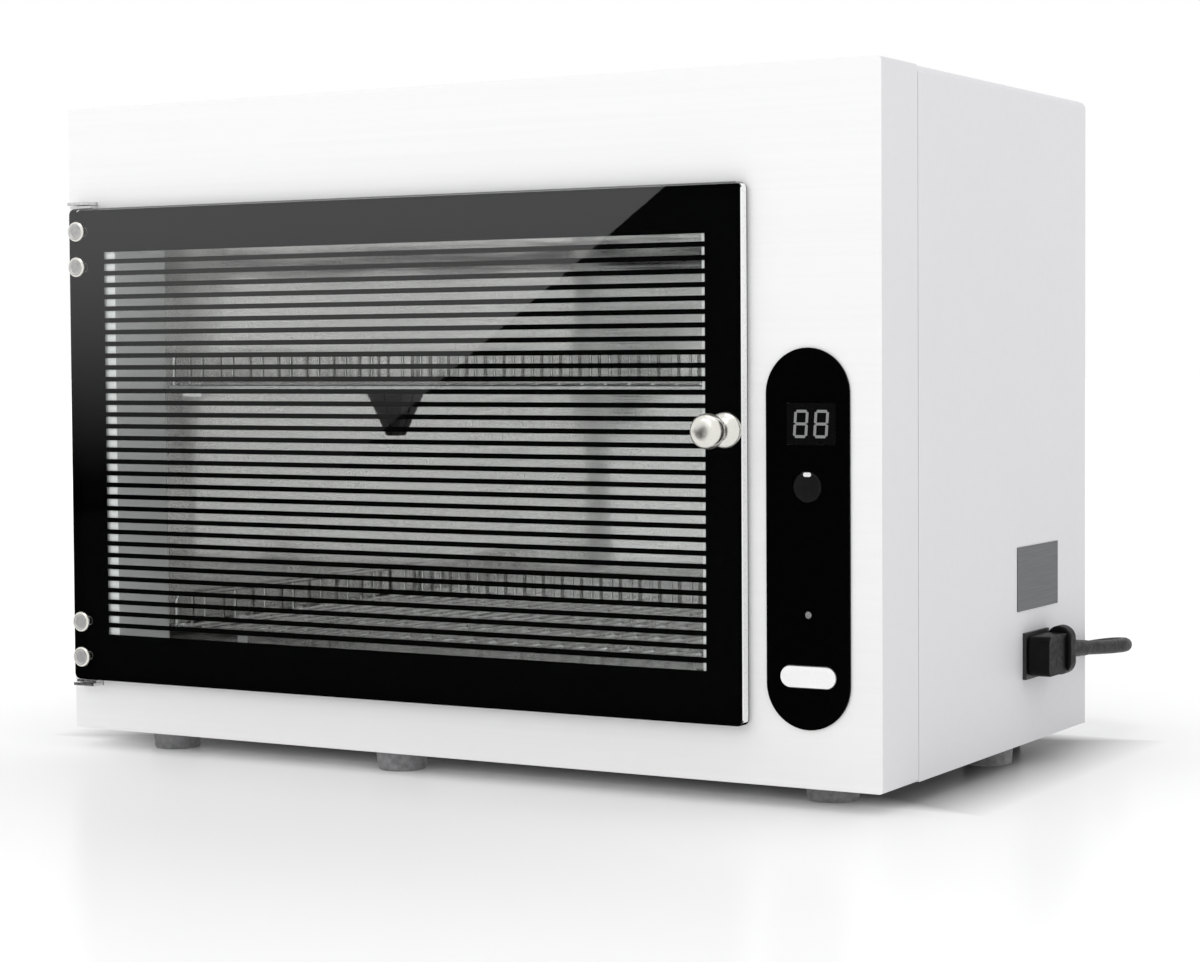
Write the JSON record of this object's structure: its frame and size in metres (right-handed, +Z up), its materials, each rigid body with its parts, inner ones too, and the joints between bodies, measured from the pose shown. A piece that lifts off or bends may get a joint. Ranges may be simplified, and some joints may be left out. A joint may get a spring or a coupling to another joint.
{
  "type": "electric sterilizer",
  "caption": "Bench-top ultraviolet sterilizer cabinet in white sheet steel with a striped glass door, wire baskets in a polished chamber, a black control panel and a mains lead.",
  "frame": {"origin": "middle of the footprint of the cabinet with its knob and inlet, on the surface that the feet stand on", "axes": "+Z up, the door faces -Y, +X towards the control panel"},
  "size_m": [0.441, 0.3843, 0.309],
  "materials": {
    "white_paint": "semi-gloss white powder paint",
    "side_paint": "satin white powder paint",
    "chamber_steel": "polished stainless sheet",
    "bright_steel": "bright plated",
    "polished_knob": "polished plated",
    "foot_grey": "matt moulded",
    "black_acrylic": "gloss black acrylic",
    "dark_button": "satin dark grey",
    "white_button": "gloss white",
    "indicator_grey": "clear grey light pipe",
    "black_plastic": "moulded black",
    "white_plastic": "moulded white",
    "board_green": "circuit board green",
    "lamp_glass": "clear quartz tube with metal caps",
    "ballast_grey": "plated sheet housing",
    "door_glass": "clear float glass",
    "door_black": "black print on the back of the glass",
    "rating_silver": "silver-grey film, bare",
    "lead_black": "satin black sheath and mouldings",
    "tie_black": "flat strap"
  },
  "bodies": {
    "root": {"base_panel": "side_paint", "base_screw_1": "bright_steel", "base_screw_2": "bright_steel", "base_screw_3": "bright_steel", "base_screw_4": "bright_steel", "board_carrier": "black_plastic", "catch_magnet": "black_plastic", "chamber_liner": "chamber_steel", "coil_tie": "tie_black", "control_board": "board_green", "control_panel": "black_acrylic", "cord_boot": "lead_black", "cord_coil": "lead_black", "cord_connector": "lead_black", "cord_tail": "lead_black", "display_lens": "black_acrylic", "display_module": "dark_button", "door_sensor": "white_plastic", "foot_front_left": "foot_grey", "foot_front_middle": "foot_grey", "foot_front_right": "foot_grey", "foot_rear_left": "foot_grey", "foot_rear_right": "foot_grey", "foot_side_right": "foot_grey", "front_frame": "white_paint", "hinge_bracket_bottom": "bright_steel", "hinge_bracket_top": "bright_steel", "hinge_pin_bottom": "bright_steel", "hinge_pin_top": "bright_steel", "indicator_lens": "indicator_grey", "lamp_ballast": "ballast_grey", "lamp_holder_front": "white_plastic", "lamp_holder_rear": "white_plastic", "lamp_tube": "lamp_glass", "lower_basket": "bright_steel", "mains_cord": "lead_black", "mains_inlet": "black_plastic", "mains_plug": "lead_black", "outer_shell": "side_paint", "power_switch": "black_plastic", "rating_plate": "rating_silver", "rear_panel": "side_paint", "shelf_bracket_left": "black_plastic", "shelf_bracket_right": "black_plastic", "timer_switch": "black_plastic", "upper_basket": "bright_steel"},
    "door": {"door_glass": "door_glass", "door_print": "door_black", "hinge_clamp_top": "bright_steel", "hinge_clamp_bottom": "bright_steel", "hinge_cap_1": "polished_knob", "hinge_cap_2": "polished_knob", "hinge_cap_3": "polished_knob", "hinge_cap_4": "polished_knob", "door_knob": "polished_knob", "strike_plate": "bright_steel", "sensor_magnet": "black_plastic"},
    "timer_key": {"timer_button": "dark_button"},
    "power_key": {"power_button": "white_button"}
  },
  "joints": [
    {"name": "door_hinge", "type": "hinge", "parent": "root", "child": "door", "pos_m": [-0.20655, -0.11125, 0.14705], "axis": [0, 0, -1], "range_deg": [0, 115]},
    {"name": "timer_button_press", "type": "slide", "parent": "root", "child": "timer_key", "axis": [0, 1, 0], "range_m": [0, 0.0008], "stiffness_N_per_m": 800, "springref_m": -0.001},
    {"name": "power_button_press", "type": "slide", "parent": "root", "child": "power_key", "axis": [0, 1, 0], "range_m": [0, 0.0008], "stiffness_N_per_m": 800, "springref_m": -0.001}
  ]
}
